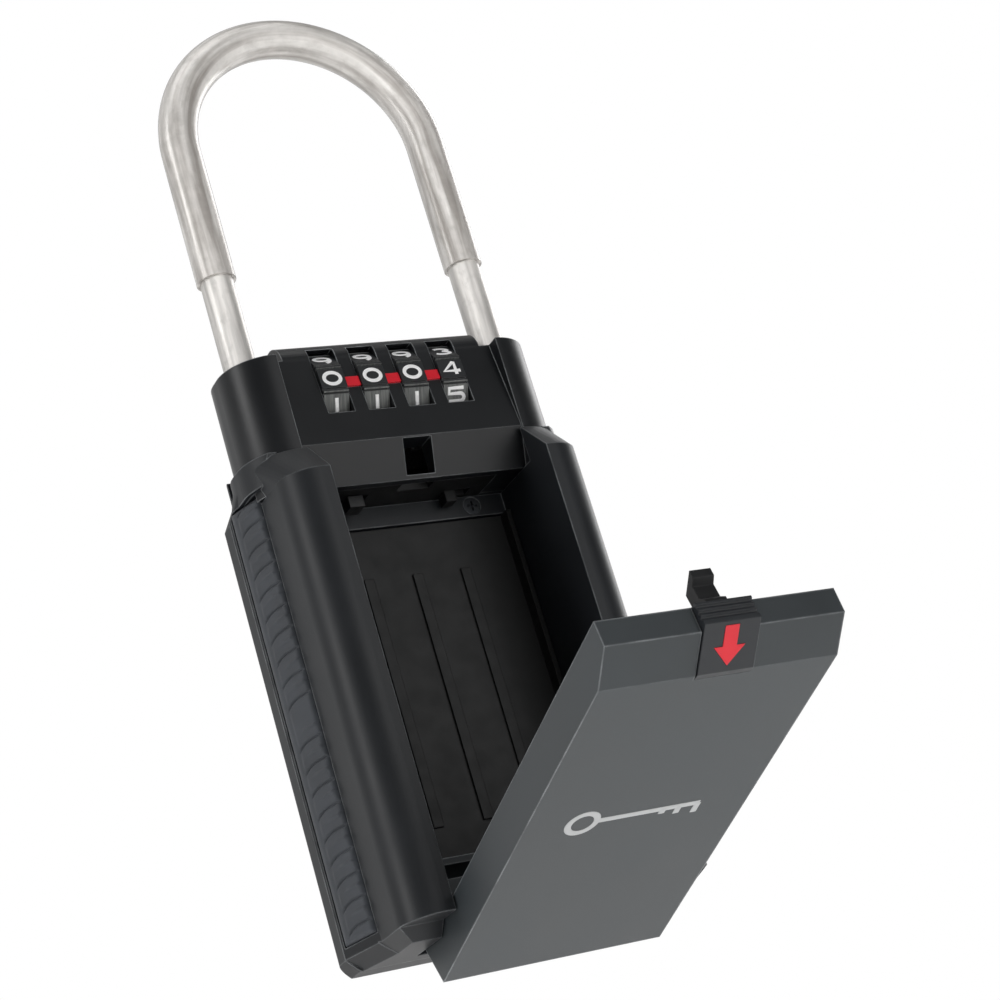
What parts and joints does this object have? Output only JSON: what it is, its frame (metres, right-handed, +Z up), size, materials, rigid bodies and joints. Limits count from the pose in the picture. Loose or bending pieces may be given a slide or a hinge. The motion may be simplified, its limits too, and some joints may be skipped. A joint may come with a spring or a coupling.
{
  "type": "key lock box",
  "caption": "Portable key safe with number wheels, a lift-out steel shackle in a clear sleeve, rubber side grips and a drop-down door with a sliding latch.",
  "frame": {"origin": "middle of the width of the case's rear face, at the height of its underside", "axes": "+Z up towards the shackle, +Y out of the rear face, +X to the right seen from the front; the door faces -Y"},
  "size_m": [0.0676, 0.0989, 0.1948],
  "materials": {
    "case_metal": "fine satin black coating",
    "cover_metal": "fine satin black coating",
    "head_metal": "fine satin black coating",
    "door_metal": "satin dark grey coating",
    "grip_rubber": "matt",
    "inner_plastic": "matt",
    "tab_plastic": "satin",
    "wheel_plastic": "satin",
    "knob_plastic": "matt",
    "red_plastic": "gloss",
    "shackle_steel": "drawn and lightly polished",
    "clear_sleeve": "clear soft plastic tube",
    "mechanism_steel": "plain",
    "screw_steel": "plated",
    "spring_steel": "bright wire",
    "cam_brass": "turned"
  },
  "bodies": {
    "case": {"front_shell": "case_metal", "rear_cover": "cover_metal", "head_front": "head_metal", "head_rear": "head_metal", "left_grip": "grip_rubber", "right_grip": "grip_rubber", "compartment_liner": "inner_plastic", "case_screws": "screw_steel", "head_screws": "screw_steel", "index_marks": "red_plastic", "wheel_shaft": "mechanism_steel", "detent_spring": "spring_steel", "locking_springs": "spring_steel", "mechanism_cover": "inner_plastic", "cover_screws": "screw_steel", "bolt_spring": "spring_steel", "hinge_pin": "mechanism_steel"},
    "door": {"door": "door_metal", "latch_spring": "spring_steel", "latch_cover": "inner_plastic", "latch_screws": "screw_steel"},
    "latch": {"latch_tab": "tab_plastic", "latch_arrow": "red_plastic", "latch_hook": "knob_plastic"},
    "shackle": {"shackle": "shackle_steel", "shackle_sleeve": "clear_sleeve", "shackle_clip": "screw_steel"},
    "release": {"shackle_bolt": "mechanism_steel", "release_knob": "knob_plastic"},
    "reset_lever": {"code_reset_lever": "mechanism_steel"},
    "locking_plate": {"locking_plate": "mechanism_steel"},
    "wheel_1": {"wheel_1": "wheel_plastic", "cam_1": "cam_brass"},
    "wheel_2": {"wheel_2": "wheel_plastic", "cam_2": "cam_brass"},
    "wheel_3": {"wheel_3": "wheel_plastic", "cam_3": "cam_brass"},
    "wheel_4": {"wheel_4": "wheel_plastic", "cam_4": "cam_brass"}
  },
  "joints": [
    {"name": "door_hinge", "type": "hinge", "parent": "case", "child": "door", "pos_m": [0, -0.01466, 0.00738], "axis": [1, 0, 0], "range_deg": [-73.6, 16.4]},
    {"name": "latch_slide", "type": "slide", "parent": "door", "child": "latch", "axis": [0, 0.7448, -0.6673], "range_m": [0, 0.0025], "deforming": ["latch_spring"]},
    {"name": "shackle_lift", "type": "slide", "parent": "case", "child": "shackle", "axis": [0, 0, 1], "range_m": [-0.0195, 0]},
    {"name": "shackle_release_slide", "type": "slide", "parent": "case", "child": "release", "axis": [1, 0, 0], "range_m": [0, 0.002], "deforming": ["bolt_spring"]},
    {"name": "code_reset_slide", "type": "slide", "parent": "case", "child": "reset_lever", "axis": [1, 0, 0], "range_m": [0, 0.003]},
    {"name": "locking_plate_slide", "type": "slide", "parent": "case", "child": "locking_plate", "axis": [0, 1, 0], "range_m": [0, 0.0008], "deforming": ["locking_springs"]},
    {"name": "wheel_1_spin", "type": "hinge", "parent": "case", "child": "wheel_1", "pos_m": [0, -0.0111, 0.1045], "axis": [1, 0, 0], "continuous": true},
    {"name": "wheel_2_spin", "type": "hinge", "parent": "case", "child": "wheel_2", "pos_m": [0, -0.0111, 0.1045], "axis": [1, 0, 0], "continuous": true},
    {"name": "wheel_3_spin", "type": "hinge", "parent": "case", "child": "wheel_3", "pos_m": [0, -0.0111, 0.1045], "axis": [1, 0, 0], "continuous": true},
    {"name": "wheel_4_spin", "type": "hinge", "parent": "case", "child": "wheel_4", "pos_m": [0, -0.0111, 0.1045], "axis": [1, 0, 0], "continuous": true}
  ]
}
